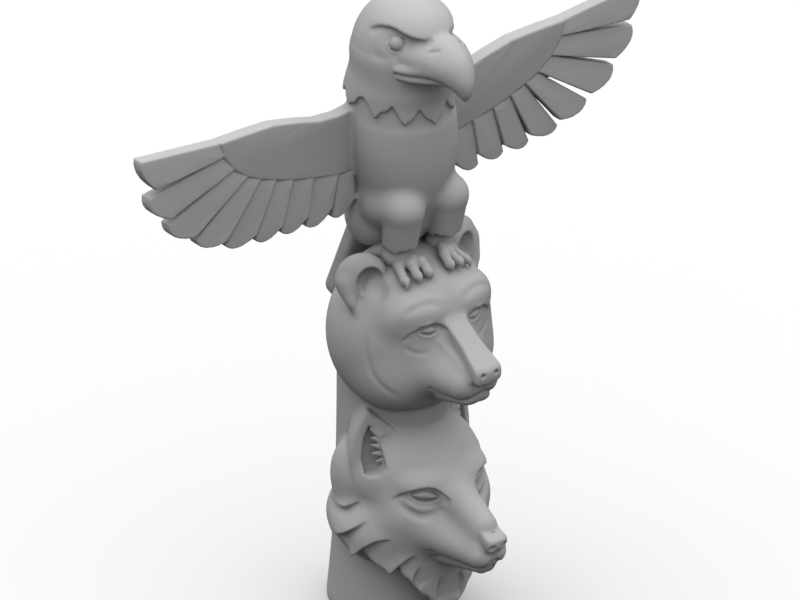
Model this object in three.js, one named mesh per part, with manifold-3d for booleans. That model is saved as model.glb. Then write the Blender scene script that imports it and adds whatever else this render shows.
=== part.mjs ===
// A carved totem pole: an eagle with open wings stands on a bear's head,
// above a wolf's head, on a round trunk.
import * as THREE from 'three';
import { mergeVertices } from 'three/addons/utils/BufferGeometryUtils.js';
import Module from 'manifold-3d';

const wasm = await Module();
wasm.setup();

// Driving size in millimetres. The carving is laid out in parts, 682 of them to the height.
const HEIGHT = 1800;
const LAYOUT_PARTS = 682;
const PART = HEIGHT / LAYOUT_PARTS;

// All places and sizes below are in parts. The pole faces -Y, x = 0 is its middle plane, the middles of
// the heads lie near y = 0, and paired forms are given for the +X side.
const TRUNK = { behind: 22, radius: 55, flare: 10.4, flareHeight: 85, bottom: -7, top: 300 };
const WING = { front: 18.8, back: 33.8, covertProud: 1, shingle: 1.2 };
const TAIL = { root: [47, 425], tip: [97, 305], halfWidth: 27, thickness: 17 };
const MANE = { proud: 3.5, sunk: 7, reach: 8 };
const COLLAR = { behind: 8, sides: 22, low: 545, top: 612 };
const STONE = { color: 0x8c8c8a, roughness: 0.85, metalness: 0 };

// ---- distances to simple bodies, and ways to join them ----

function smoothMin(a, b, blend) {
  if (blend <= 0) return Math.min(a, b);
  const h = Math.max(blend - Math.abs(a - b), 0) / blend;
  return Math.min(a, b) - h * h * blend * 0.25;
}

function smoothMax(a, b, blend) {
  return -smoothMin(-a, -b, blend);
}

// An ellipsoid, turned by yaw about Z after pitch about X, in degrees.
function ball(cx, cy, cz, rx, ry, rz, pitch = 0, yaw = 0) {
  const angles = new THREE.Euler(THREE.MathUtils.degToRad(pitch), 0, THREE.MathUtils.degToRad(yaw), 'ZYX');
  const unturn = new THREE.Matrix4().makeRotationFromEuler(angles).transpose();
  const p = new THREE.Vector3();
  return (x, y, z) => {
    p.set(x - cx, y - cy, z - cz).applyMatrix4(unturn);
    const near = Math.hypot(p.x / rx, p.y / ry, p.z / rz);
    const slope = Math.hypot(p.x / (rx * rx), p.y / (ry * ry), p.z / (rz * rz)) + 1e-6;
    return near * (near - 1) / slope;
  };
}

// A round bar from a to b, its radius running from ra to rb.
function rod(ax, ay, az, ra, bx, by, bz, rb) {
  const v = new THREE.Vector3(bx - ax, by - ay, bz - az);
  const lengthSquared = v.lengthSq();
  return (x, y, z) => {
    const dx = x - ax;
    const dy = y - ay;
    const dz = z - az;
    const t = THREE.MathUtils.clamp((dx * v.x + dy * v.y + dz * v.z) / lengthSquared, 0, 1);
    return Math.hypot(dx - t * v.x, dy - t * v.y, dz - t * v.z) - (ra + t * (rb - ra));
  };
}

// Both sides of a paired form.
function pair(form) {
  return (x, y, z) => form(Math.abs(x), y, z);
}

// Forms given as [form, blend], each melted into the ones before it.
function join(forms) {
  return (x, y, z) => {
    let distance = 1e6;
    for (const [form, blend] of forms) distance = smoothMin(distance, form(x, y, z), blend);
    return distance;
  };
}

// ---- closed bodies ----

function point([across, up]) {
  return new THREE.Vector2(across, up);
}

function toSolid(geometry) {
  const bare = geometry.clone();
  bare.deleteAttribute('normal');
  bare.deleteAttribute('uv');
  const merged = mergeVertices(bare, 1e-4);
  return new wasm.Manifold(new wasm.Mesh({
    numProp: 3,
    vertProperties: new Float32Array(merged.attributes.position.array),
    triVerts: new Uint32Array(merged.index.array),
  }));
}

function toGeometry(solid) {
  const { vertProperties, triVerts } = solid.getMesh();
  const geometry = new THREE.BufferGeometry();
  geometry.setAttribute('position', new THREE.BufferAttribute(new Float32Array(vertProperties), 3));
  geometry.setIndex(new THREE.BufferAttribute(new Uint32Array(triVerts), 1));
  return geometry;
}

function union(solids) {
  return solids.reduce((sum, solid) => sum.add(solid));
}

function bothSides(solid) {
  return solid.add(solid.mirror([1, 0, 0]));
}

// A sphere with its poles to the front and the back. A crowd above 1 brings its rings closer in front.
function frontedSphere(around, rings, crowd) {
  const sphere = new THREE.SphereGeometry(1, around, rings);
  sphere.rotateX(Math.PI);
  const place = sphere.attributes.position;
  for (let i = 0; i < place.count; i += 1) {
    const flat = Math.hypot(place.getX(i), place.getZ(i));
    const polar = Math.PI * (Math.atan2(flat, -place.getY(i)) / Math.PI) ** crowd;
    const spread = flat > 1e-6 ? Math.sin(polar) / flat : 0;
    place.setXYZ(i, place.getX(i) * spread, -Math.cos(polar), place.getZ(i) * spread);
  }
  return sphere;
}

// Moves each vertex of a ball shaped geometry along its ray from the centre onto the surface of a form.
function wrap(geometry, form, [cx, cy, cz], reach) {
  const place = geometry.attributes.position;
  const ray = new THREE.Vector3();
  const step = 1.5;
  for (let i = 0; i < place.count; i += 1) {
    ray.fromBufferAttribute(place, i).normalize();
    const distance = (r) => form(cx + ray.x * r, cy + ray.y * r, cz + ray.z * r);
    let outer = reach;
    while (outer > step && distance(outer - step) > 0) outer -= step;
    let inner = outer - step;
    for (let halving = 0; halving < 10; halving += 1) {
      const middle = (inner + outer) / 2;
      if (distance(middle) > 0) outer = middle;
      else inner = middle;
    }
    place.setXYZ(i, cx + ray.x * outer, cy + ray.y * outer, cz + ray.z * outer);
  }
  return toSolid(geometry);
}

// A turned bar from a to b with rounded ends, its radius running from ra to rb.
function bar(a, ra, b, rb, sides = 6) {
  const from = new THREE.Vector3(...a);
  const along = new THREE.Vector3(...b).sub(from);
  const length = along.length();
  const shoulder = 0.7;
  const profile = [
    new THREE.Vector2(0, -ra),
    new THREE.Vector2(ra * shoulder, -ra * shoulder),
    new THREE.Vector2(ra, 0),
    new THREE.Vector2(rb, length),
    new THREE.Vector2(rb * shoulder, length + rb * shoulder),
    new THREE.Vector2(0, length + rb),
  ];
  const geometry = new THREE.LatheGeometry(profile, sides);
  const turn = new THREE.Quaternion().setFromUnitVectors(new THREE.Vector3(0, 1, 0), along.normalize());
  geometry.applyQuaternion(turn);
  geometry.translate(from.x, from.y, from.z);
  return toSolid(geometry);
}

// A slab of an outline in the XZ plane, between the planes y = front and y = back.
function slab(outline, front, back) {
  const geometry = new THREE.ExtrudeGeometry(new THREE.Shape(outline), {
    depth: back - front, bevelEnabled: false, curveSegments: 4,
  });
  geometry.rotateX(Math.PI / 2);
  geometry.translate(0, back, 0);
  return geometry;
}

// ---- trunk ----

function trunk() {
  const profile = [new THREE.Vector2(0, TRUNK.bottom)];
  for (const z of [TRUNK.bottom, 0, 20, 45, 80, 130, TRUNK.top]) {
    const flare = TRUNK.flare * Math.exp(-((Math.max(z, 0) / TRUNK.flareHeight) ** 1.2));
    profile.push(new THREE.Vector2(TRUNK.radius + flare, z));
  }
  profile.push(new THREE.Vector2(0, TRUNK.top));
  const geometry = new THREE.LatheGeometry(profile, 32);
  geometry.rotateX(Math.PI / 2);
  geometry.translate(0, TRUNK.behind, 0);
  return toSolid(geometry);
}

// ---- wolf ----

// The lower edge of the mane: its height by the angle round from the front, in degrees.
const MANE_HEM = [
  [0, 14], [12, 18], [22, 34], [30, 43], [37, 55], [46, 64], [52, 62.5], [64, 70.5], [76, 77], [93, 84],
  [106, 91], [180, 100],
];

// The lower edges of the mane's locks, each from the rear to the front.
const LOCK_EDGES = [
  [[78, 16, 123], [78.5, 1.5, 124], [75, -8, 130], [71, -16, 136]],
  [[83, 12, 91.5], [85, -4, 98], [82, -19, 109], [73, -31, 121]],
  [[79, -20, 80], [76, -30, 91], [72, -43, 101], [62, -55, 106]],
  [[61, -50, 62], [56, -56, 71], [50, -62, 79], [41, -67, 86]],
  [[37, -63, 42], [41, -66, 58], [36, -70, 72]],
  [[14, -74, 22], [17, -75, 40], [13, -76, 56]],
];

function hemHeight(angle) {
  const i = Math.max(1, MANE_HEM.findIndex(([limit]) => angle <= limit));
  const [fromAngle, fromHeight] = MANE_HEM[i - 1];
  const [toAngle, toHeight] = MANE_HEM[i];
  return THREE.MathUtils.mapLinear(angle, fromAngle, toAngle, fromHeight, toHeight);
}

function mane(x, y, z) {
  const shrink = 1 - 0.08 * THREE.MathUtils.clamp((104 - z) / 84, 0, 1);
  const round = Math.hypot(x / (83 * shrink), (y + 3) / (75 * shrink));
  const angle = THREE.MathUtils.radToDeg(Math.atan2(Math.abs(x), -(y + 3)));
  const skirt = smoothMax((round - 1) * 72, (hemHeight(angle) - z) * 0.85, 6);
  return smoothMax(skirt, z - 118, 20);
}

// Laps each lock over the one below: the form stands proud above a lock's edge and is sunk below it.
function lapped(form, edges) {
  const lines = edges.map((places) => {
    const knots = places.map((place) => new THREE.Vector3(...place));
    return knots.slice(1).map((knot, i) => new THREE.Line3(knots[i], knot));
  });
  const here = new THREE.Vector3();
  const nearest = new THREE.Vector3();
  return (x, y, z) => {
    here.set(Math.abs(x), y, z);
    let shift = 0;
    for (const line of lines) {
      let away = 1e6;
      let above = 0;
      for (const span of line) {
        span.closestPointToPoint(here, true, nearest);
        const gap = here.distanceTo(nearest);
        if (gap < away) {
          away = gap;
          above = z - nearest.z;
        }
      }
      const share = 0.5 + 0.5 * Math.tanh(above);
      shift += Math.exp(-away / MANE.reach) * (MANE.sunk * (1 - share) - MANE.proud * share);
    }
    return form(x, y, z) + shift;
  };
}

// The blunt nose pad, flat on top and in front.
function wolfNose(x, y, z) {
  const side = Math.abs(x) - 12.5 + 0.02 * (z - 121) ** 2;
  const top = z - 129 - 0.4 * (y + 140);
  const front = -y - 151 + 0.012 * x * x + 0.03 * (z - 121) ** 2;
  return smoothMax(smoothMax(smoothMax(side, top, 3), front, 3), Math.max(y + 126, 108 - z), 5);
}

const WOLF = lapped(join([
  [ball(0, -6, 156, 73, 72, 61), 0],
  [ball(0, -3, 104, 83, 75, 56), 8],
  [pair(ball(58, 12, 150, 20, 26, 38)), 10],
  [pair(ball(34, -40, 126, 30, 34, 32, 0, 25)), 14],
  [pair(ball(29, -63, 163, 25, 16, 13, -25, 26)), 6],
  [ball(0, 0, 222, 42, 44, 40), 8],
  [rod(0, -58, 158, 22.5, 0, -124, 130, 14.5), 14],
  [pair(rod(14, -72, 112, 25, 7, -128, 105, 14.5)), 17],
  [mane, 6],
  [pair(rod(8, -70, 88, 17, 3, -125, 90, 9)), 2],
  [wolfNose, 3],
]), LOCK_EDGES);

// An upright three-cornered ear, bellied on its outer edge, with a narrow hollow in its face.
function wolfEar() {
  const inner = new THREE.Vector3(27, -33, 197);
  const tip = new THREE.Vector3(57.5, -12, 227);
  const outer = new THREE.Vector3(69, -11, 156);
  const down = outer.clone().sub(tip).normalize();
  const face = new THREE.Vector3().crossVectors(outer.clone().sub(inner), tip.clone().sub(inner)).normalize();
  const across = new THREE.Vector3().crossVectors(down, face);
  const basis = new THREE.Matrix4().makeBasis(across, down, face).setPosition(tip);
  const flat = (p) => new THREE.Vector2(p.clone().sub(tip).dot(across), p.clone().sub(tip).dot(down));
  const [innerPlace, outerPlace] = [flat(inner), flat(outer)];
  const outline = new THREE.Shape();
  outline.moveTo(innerPlace.x, innerPlace.y);
  outline.lineTo(0, 0);
  outline.quadraticCurveTo(-Math.sign(innerPlace.x) * 18, outerPlace.y / 2, outerPlace.x, outerPlace.y);
  const body = new THREE.ExtrudeGeometry(outline, {
    depth: 14, bevelThickness: 3, bevelSize: 4, bevelSegments: 2, steps: 1, curveSegments: 5,
  });
  body.translate(0, 0, -14);
  body.applyMatrix4(basis);
  const share = (s, t) => innerPlace.clone().multiplyScalar(s).addScaledVector(outerPlace, t);
  const plan = [
    [0.05, 0.13], [-0.03, 0.33], [-0.03, 0.55], [0.08, 0.88], [0.42, 0.64], [0.5, 0.42], [0.16, 0.13],
  ];
  const hollow = new THREE.ExtrudeGeometry(new THREE.Shape(plan.map(([s, t]) => share(s, t))), {
    depth: 20, bevelEnabled: false,
  });
  hollow.translate(0, 0, -8);
  hollow.applyMatrix4(basis);
  return toSolid(body).subtract(toSolid(hollow));
}

function wolf() {
  return wrap(frontedSphere(40, 24, 1.1), WOLF, [0, -58, 116], 160).add(bothSides(wolfEar()));
}

// ---- bear ----

const BRIDGE = { topY: -84, topZ: 343, noseY: -133, noseZ: 311.5, halfWidth: 13, noseHalfWidth: 16.5 };

// The flat-topped bridge of the muzzle with the blocky nose at its end.
function bearBridge(x, y, z) {
  const length = Math.hypot(BRIDGE.noseY - BRIDGE.topY, BRIDGE.noseZ - BRIDGE.topZ);
  const alongY = (BRIDGE.noseY - BRIDGE.topY) / length;
  const alongZ = (BRIDGE.noseZ - BRIDGE.topZ) / length;
  const run = (y - BRIDGE.topY) * alongY + (z - BRIDGE.topZ) * alongZ;
  const rise = (y - BRIDGE.topY) * alongZ - (z - BRIDGE.topZ) * alongY;
  const widening = THREE.MathUtils.smoothstep(run, 28, length);
  const half = THREE.MathUtils.lerp(BRIDGE.halfWidth, BRIDGE.noseHalfWidth, widening);
  const block = smoothMax(smoothMax(Math.abs(x) - half, rise, 3.5), Math.min(-rise - 16, 296 - z), 5);
  const front = -y - 136 + 0.02 * (z - 304) ** 2 + 0.006 * x * x;
  return smoothMax(smoothMax(block, front, 3), -12 - run, 8);
}

const BEAR = join([
  [ball(0, -5, 310, 87, 76, 90), 0],
  [pair(ball(40, -30, 280, 36, 38, 38)), 14],
  [pair(ball(30, -58, 354, 28, 20, 18, -25, 18)), 7],
  [rod(0, -62, 316, 25, 0, -112, 291, 15.5), 12],
  [pair(rod(15, -70, 290, 24, 12.5, -104, 287.5, 17.5)), 9],
  [pair(rod(8, -78, 272, 16, 6, -111, 274, 11.5)), 2],
  [bearBridge, 5],
]);

// A round ear with a cupped face.
function bearEar() {
  const rim = new THREE.SphereGeometry(1, 12, 8);
  rim.scale(26, 13, 25);
  const cup = new THREE.SphereGeometry(1, 10, 8);
  cup.scale(14, 16, 16.5);
  cup.translate(0, -13, -4);
  for (const geometry of [rim, cup]) {
    geometry.rotateZ(THREE.MathUtils.degToRad(28));
    geometry.translate(62.6, -8, 384.5);
  }
  return toSolid(rim).subtract(toSolid(cup));
}

function bear() {
  return wrap(frontedSphere(34, 22, 1.1), BEAR, [0, -56, 304], 160).add(bothSides(bearEar()));
}

// ---- eagle ----

// The underside of the brow: its height by the place along Y.
const BROW_EDGE = [
  [-70, 650], [-56, 647], [-48, 648], [-37.5, 653], [-28, 656],
  [-20, 656.7], [-10, 654], [0, 650.5], [80, 645],
];

const FOREHEAD = ball(0, -6, 640, 45, 53.5, 35);

function brow(x, y, z) {
  const i = Math.max(1, BROW_EDGE.findIndex(([limit]) => y <= limit));
  const [fromY, fromZ] = BROW_EDGE[i - 1];
  const [toY, toZ] = BROW_EDGE[i];
  const edge = THREE.MathUtils.mapLinear(y, fromY, toY, fromZ, toZ);
  return smoothMax(FOREHEAD(x, y, z), (edge - z) * 0.9, 3.5);
}

const EYE_SOCKET = ball(48, -41, 643, 17, 17, 17);
const EAGLE_HEAD = join([
  [(x, y, z) => smoothMax(ball(0, 4.8, 616, 51.5, 51.5, 59)(x, y, z), -EYE_SOCKET(Math.abs(x), y, z), 7), 0],
  [brow, 1],
  [pair(rod(22, -34, 627, 13, 6, -82, 620, 8)), 8],
]);
const EAGLE_EYE = { place: [30.4, -25.2, 642.4], radius: 7.7 };

// The collar of feathers: the heights of its zigzag hem in equal steps of angle from the front to the back.
const COLLAR_HEM = [549, 568.5, 553, 574, 560, 580, 561, 575, 564, 577, 561, 574];

const BEAK = [
  [0, -56, 632, 20], [0, -78, 627.5, 15.5], [0, -89, 619, 11.2],
  [0, -94.5, 609.5, 7.2], [0, -94.3, 595.5, 1.5],
];

const EAGLE_BODY = join([
  [ball(0, 3, 513, 54.5, 54.5, 86), 0],
  [rod(0, 5, 530, 53.5, 0, 7, 560, 53.5), 6],
  [ball(0, 14, 455, 44, 46, 62), 16],
  [pair(ball(28, 22, 432, 24, 28, 34)), 10],
]);

const KNEE = [27, -33, 455];
const ANKLE = [28, -22, 404];
const TOES = [[14.5, -56, 383], [27, -51, 381], [41, -46, 375]];
const KNUCKLES = [[20, -38, 396], [26, -34, 396], [32, -32, 394]];
const HIND_TOE = [35, 16, 391];

function beak() {
  const pieces = BEAK.slice(1).map(([x, y, z, radius], i) => {
    const [px, py, pz, before] = BEAK[i];
    return bar([px, py, pz], before, [x, y, z], radius, 8);
  });
  return union([...pieces, bar([0, -40, 606], 16, [0, -80, 608], 6, 8)]);
}

function collar() {
  const rise = COLLAR_HEM[0];
  const profile = [
    [0, COLLAR.low], [50, rise], [57.5, rise], [56, 585], [53.5, 597], [49, 609], [0, COLLAR.top],
  ];
  const geometry = new THREE.LatheGeometry(profile.map(point), COLLAR.sides);
  geometry.rotateX(Math.PI / 2);
  const place = geometry.attributes.position;
  for (let i = 0; i < place.count; i += 1) {
    if (place.getZ(i) === rise) {
      const turn = Math.abs(Math.atan2(place.getX(i), -place.getY(i))) / Math.PI;
      place.setZ(i, COLLAR_HEM[Math.round(turn * (COLLAR_HEM.length - 1))]);
    }
  }
  geometry.translate(0, COLLAR.behind, 0);
  return toSolid(geometry);
}

function eagleEye() {
  const geometry = new THREE.SphereGeometry(EAGLE_EYE.radius, 10, 8);
  geometry.translate(...EAGLE_EYE.place);
  return toSolid(geometry);
}

function leg() {
  const thigh = bar([30, -6, 458], 27, KNEE, 21.5, 8);
  const shin = bar(KNEE, 21.5, [28, -23, 414], 16, 8);
  const toes = TOES.map((tip, i) => {
    const joint = new THREE.Vector3(...KNUCKLES[i]).lerp(new THREE.Vector3(...tip), 0.8);
    const first = bar(ANKLE, 7.5, KNUCKLES[i], 7, 5);
    const second = bar(KNUCKLES[i], 7, [joint.x, joint.y, joint.z + 2.5], 6, 5);
    const claw = bar([joint.x, joint.y, joint.z + 3.5], 4.2, tip, 1.2, 4);
    return union([first, second, claw]);
  });
  return union([thigh, shin, ...toes, bar(ANKLE, 12, [28, -15, 402], 10), bar(ANKLE, 8, HIND_TOE, 3)]);
}

// Wing outlines in the XZ plane. The flight feathers are counted from the wing's tip to the body.
const FEATHER_ROOTS = [
  [219, 571], [215, 554], [202, 536], [184.5, 523], [168, 515],
  [149, 508], [127, 501], [101, 495], [70, 489],
];
const FEATHER_CORNERS = [
  [317, 581], [307, 537], [283, 500], [249, 472], [211.5, 454.5],
  [174.5, 449], [142, 447], [110, 443], [77, 443],
];
const FEATHER_NOTCHES = [
  [301, 546], [283, 508], [252, 478], [212, 461], [174, 456],
  [141, 455], [108, 455.5], [77.5, 455], [50, 458],
];
const WING_ROOT_LOW = [45, 489];
const FEATHER_TUCK = 10;
const LEADING_EDGE = [
  [30, 560], [55, 557], [70, 555], [95, 557], [121, 564], [152, 570.5], [190, 571.5], [219, 571.5],
];

function feather(i) {
  const root = point(FEATHER_ROOTS[i]);
  const corner = point(FEATHER_CORNERS[i]);
  const notch = point(FEATHER_NOTCHES[i]);
  const nextRoot = point(FEATHER_ROOTS[i + 1] ?? WING_ROOT_LOW);
  const along = corner.clone().sub(root).normalize();
  const end = corner.clone().lerp(notch, 0.5).addScaledVector(along, 19);
  const rounding = new THREE.QuadraticBezierCurve(corner, end, notch).getPoints(4);
  const tuck = along.clone().multiplyScalar(-FEATHER_TUCK);
  const quill = [nextRoot.clone().add(tuck), root.clone().add(tuck)];
  const geometry = slab([root, ...rounding, nextRoot, ...quill], WING.front, WING.back - 1);
  const side = new THREE.Vector2(along.y, -along.x);
  const width = side.dot(nextRoot.clone().sub(root));
  const place = geometry.attributes.position;
  for (let k = 0; k < place.count; k += 1) {
    const across = side.dot(new THREE.Vector2(place.getX(k) - root.x, place.getZ(k) - root.y)) / width;
    place.setY(k, place.getY(k) - WING.shingle * (2 * across - 1));
  }
  return toSolid(geometry);
}

function wing() {
  const outline = [...LEADING_EDGE, ...FEATHER_ROOTS.slice(1), [30, 489]].map(point);
  const covert = slab(outline, WING.front - WING.covertProud, WING.back);
  return union([toSolid(covert), ...FEATHER_ROOTS.map((root, i) => feather(i))]);
}

function tail() {
  const [rootY, rootZ] = TAIL.root;
  const [tipY, tipZ] = TAIL.tip;
  const length = Math.hypot(tipY - rootY, tipZ - rootZ);
  const shape = new THREE.Shape();
  shape.moveTo(-TAIL.halfWidth, 20);
  shape.lineTo(-TAIL.halfWidth, -length + 20);
  shape.quadraticCurveTo(-TAIL.halfWidth, -length, 0, -length);
  shape.quadraticCurveTo(TAIL.halfWidth, -length, TAIL.halfWidth, -length + 20);
  shape.lineTo(TAIL.halfWidth, 20);
  const geometry = new THREE.ExtrudeGeometry(shape, {
    depth: TAIL.thickness, bevelEnabled: false, curveSegments: 5,
  });
  geometry.rotateX(Math.PI / 2);
  geometry.translate(0, TAIL.thickness / 2, 0);
  geometry.rotateX(Math.atan2(tipY - rootY, rootZ - tipZ));
  geometry.translate(0, rootY, rootZ);
  return toSolid(geometry);
}

function eagle() {
  const head = wrap(frontedSphere(26, 16, 1.2), EAGLE_HEAD, [0, 4, 616], 120);
  const body = wrap(frontedSphere(20, 12, 1), EAGLE_BODY, [0, 5, 490], 140);
  const sides = bothSides(union([eagleEye(), leg(), wing()]));
  return union([head, collar(), beak(), body, sides, tail()]);
}

// ---- the whole pole, with the middle of its underside at the origin ----

const geometry = toGeometry(union([trunk(), wolf(), bear(), eagle()]));
geometry.translate(0, -TRUNK.behind, -TRUNK.bottom);
geometry.scale(PART, PART, PART);
geometry.computeVertexNormals();
const pole = new THREE.Mesh(geometry, new THREE.MeshStandardMaterial(STONE));
pole.name = 'totem_pole';

const totemPole = new THREE.Group();
totemPole.add(pole);
export default totemPole;
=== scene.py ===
"""Carved stone totem pole: a wolf's head, a bear's head and an eagle with spread wings on one round post.

The carving is one closed surface. It is worked out as a depth field, in which every form (post, skull,
muzzle, ear, wing, feather) gives the distance from its own surface, and soft joins and cuts melt them
together. The surface where the field is nought is then laid as a net of faces. Forms are placed in parts,
where the whole pole is 682 parts tall, faces -Y, and is the same on both sides of x = 0, so all forms are
given for the +X side.
"""
import math

import bpy
import numpy as np
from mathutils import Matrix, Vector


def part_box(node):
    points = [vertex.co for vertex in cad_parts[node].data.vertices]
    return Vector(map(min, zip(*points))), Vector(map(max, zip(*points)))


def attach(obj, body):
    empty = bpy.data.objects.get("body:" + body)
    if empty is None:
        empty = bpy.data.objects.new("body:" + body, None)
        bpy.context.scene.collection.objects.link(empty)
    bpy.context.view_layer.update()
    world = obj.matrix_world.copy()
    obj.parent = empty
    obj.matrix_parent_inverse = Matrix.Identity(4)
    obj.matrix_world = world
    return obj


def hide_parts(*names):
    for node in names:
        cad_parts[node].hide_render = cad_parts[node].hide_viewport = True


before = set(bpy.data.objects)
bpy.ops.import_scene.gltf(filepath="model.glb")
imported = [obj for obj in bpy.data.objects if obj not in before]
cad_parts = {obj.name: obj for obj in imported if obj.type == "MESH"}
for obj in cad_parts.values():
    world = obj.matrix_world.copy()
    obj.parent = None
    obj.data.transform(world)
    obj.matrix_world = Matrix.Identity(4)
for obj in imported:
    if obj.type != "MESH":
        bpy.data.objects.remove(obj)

bl_info = {
    "name": "Totem Pole",
    "version": (1, 0, 0),
    "blender": (4, 5, 0),
    "location": "View3D > Sidebar > Totem Pole",
    "description": "Builds a carved stone totem pole with a wolf, a bear and a spread-winged eagle",
    "category": "Add Mesh",
}

NODE = "totem_pole"
CAD_LOW, CAD_HIGH = [np.array(corner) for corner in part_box(NODE)]
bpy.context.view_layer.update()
PARTS_TALL = 682
FOOT = (0, 22, -7)  # the middle of the underside, in parts

# the camera's angles in degrees, the parts that its picture is wide, and where it aims
CAMERA_TURN = -38.5
CAMERA_RISE = 27.5
PICTURE_PARTS = 800
AIM_SIDE = 8.2
AIM_HEIGHT = 331.75

# ---- carving tools ----
F = np.float32
LINE_SKIN = 12  # parts each way from a form's surface in which lines are drawn
LEDGE_SKIN = 14  # the same for ledges


def offset(x, y, z, centre):
    """Places less a centre, as three arrays."""
    return [x - F(centre[0]), y - F(centre[1]), z - F(centre[2])]


def size_of(d):
    """Length of vectors given as three arrays."""
    return np.sqrt(d[0] ** 2 + d[1] ** 2 + d[2] ** 2)


def reach_along(d, axis):
    """How far vectors given as three arrays reach along an axis."""
    return d[0] * F(axis[0]) + d[1] * F(axis[1]) + d[2] * F(axis[2])


def soft_union(a, b, k):
    """The nearer of two forms, rounded over a width k where they meet."""
    h = np.maximum(k - np.abs(a - b), 0) / k
    return np.minimum(a, b) - h * h * F(k * 0.25)


def soft_cut(a, b, k):
    """What two forms share, rounded over a width k. A form is cut away by giving its field negative."""
    return -soft_union(-a, -b, k)


def egg(centre, radii, pitch=0, yaw=0):
    """Field of an ellipsoid: k0 (k0 - 1) / k1, with k0 the scaled radius and k1 its slope. It is turned about
    X by pitch, then about Z by yaw, in degrees."""
    p, w = np.radians([pitch, yaw])
    about_x = np.array([[1, 0, 0], [0, np.cos(p), -np.sin(p)], [0, np.sin(p), np.cos(p)]])
    about_z = np.array([[np.cos(w), -np.sin(w), 0], [np.sin(w), np.cos(w), 0], [0, 0, 1]])
    turn = (about_z @ about_x).T
    plain = pitch == 0 and yaw == 0

    def field(x, y, z):
        d = offset(x, y, z, centre)
        if not plain:
            d = [reach_along(d, axis) for axis in turn]
        d = [c / F(r) for c, r in zip(d, radii)]
        k0 = size_of(d)
        k1 = size_of([c / F(r) for c, r in zip(d, radii)]) + F(1e-6)
        return k0 * (k0 - 1) / k1

    return field


def bar(a, ra, b, rb):
    """Field of a round bar: distance to the line a-b less a radius that runs from ra to rb."""
    way = [F(q - p) for p, q in zip(a, b)]
    length_squared = F(way[0] ** 2 + way[1] ** 2 + way[2] ** 2)

    def field(x, y, z):
        d = offset(x, y, z, a)
        t = np.clip(reach_along(d, way) / length_squared, 0, 1)
        return size_of([c - t * w for c, w in zip(d, way)]) - (F(ra) + t * F(rb - ra))

    return field


def smooth_line(points, steps=4):
    """Catmull-Rom curve through the points, as points itself."""
    p = np.array(points, float)
    q = np.vstack([2 * p[0] - p[1], p, 2 * p[-1] - p[-2]])
    t = (np.arange(steps) / steps)[:, None]
    spans = []
    for i in range(len(p) - 1):
        a, b, c, d = q[i:i + 4]
        spans.append(0.5 * (2 * b + (c - a) * t + (2 * a - 5 * b + 4 * c - d) * t * t
                            + (3 * b - a - 3 * c + d) * t ** 3))
    return np.vstack(spans + [p[-1:]])


def sweep(points, radii, k=2.5, steps=3):
    """Field of a round bar of changing radius along a smooth line."""
    line = smooth_line(points, steps)
    size = np.interp(np.arange(len(line)) / steps, np.arange(len(radii)), radii)
    bars = [bar(line[i], size[i], line[i + 1], size[i + 1]) for i in range(len(line) - 1)]

    def field(x, y, z):
        d = bars[0](x, y, z)
        for piece in bars[1:]:
            d = soft_union(d, piece(x, y, z), k)
        return d

    return field


def melt(*forms):
    """Forms joined in order, each given with the width of its soft join."""
    def field(x, y, z):
        d = forms[0][0](x, y, z)
        for form, k in forms[1:]:
            d = soft_union(d, form(x, y, z), k)
        return d

    return field


def slopes(field, p, h=0.4):
    """Unit slope of a field at points, by differences."""
    g = np.zeros_like(p)
    for axis in range(3):
        e = np.zeros(3)
        e[axis] = h
        g[:, axis] = field(*((p + e).T.astype(F))) - field(*((p - e).T.astype(F)))
    return g / (np.linalg.norm(g, axis=1, keepdims=True) + 1e-9)


def settle(field, points):
    """Points moved along the field's slope on to its surface."""
    p = np.array(points, float)
    for _ in range(8):
        p = p - slopes(field, p) * field(*(p.T.astype(F)))[:, None] * 0.9
    return p


def line_distance(line, x, y, z):
    """Distance to a run of straight pieces, and the share of the way along it."""
    best = np.full(x.shape, 1e9, F)
    along = np.zeros(x.shape, F)
    count = len(line) - 1
    for i in range(count):
        way = line[i + 1] - line[i]
        d = offset(x, y, z, line[i])
        t = np.clip(reach_along(d, way) / F(way @ way), 0, 1)
        d = [c - t * F(w) for c, w in zip(d, way)]
        squared = d[0] ** 2 + d[1] ** 2 + d[2] ** 2
        near = squared < best
        best = np.where(near, squared, best)
        along = np.where(near, (i + t) / count, along)
    return np.sqrt(best), along


def close_to(line, margin, d, skin, x, y, z):
    """True inside the line's box widened by a margin, where the form's surface is nearer than the skin."""
    near = np.abs(d) < skin
    for c, low, high in zip((x, y, z), line.min(0) - margin, line.max(0) + margin):
        near &= (c > low) & (c < high)
    return near


def fade(t, first, last):
    """0 at both ends of a line and 1 past the first share of it, up to the last."""
    return np.clip(np.minimum(t / first, (1 - t) / last), 0, 1)


def carve(mass, lines, steps=4):
    """Draws soft lines on a form. Each is points, depth, width, and the share of its length over which its
    ends fade. Depth falls off as exp(-(distance / width)^2); a negative depth raises the line."""
    ready = []

    def field(x, y, z):
        if not ready:
            ready.extend((settle(mass, smooth_line(points, steps)), depth, width, ends)
                         for points, depth, width, ends in lines)
        d = mass(x, y, z)
        for line, depth, width, ends in ready:
            near = close_to(line, 3 * width, d, LINE_SKIN, x, y, z)
            if not near.any():
                continue
            away, t = line_distance(line, x[near], y[near], z[near])
            cut = F(depth) * fade(t, *np.broadcast_to(ends, 2)) * np.exp(-(away / F(width)) ** 2)
            d = d.copy()
            d[near] += cut.astype(F)
        return d

    return field


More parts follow.
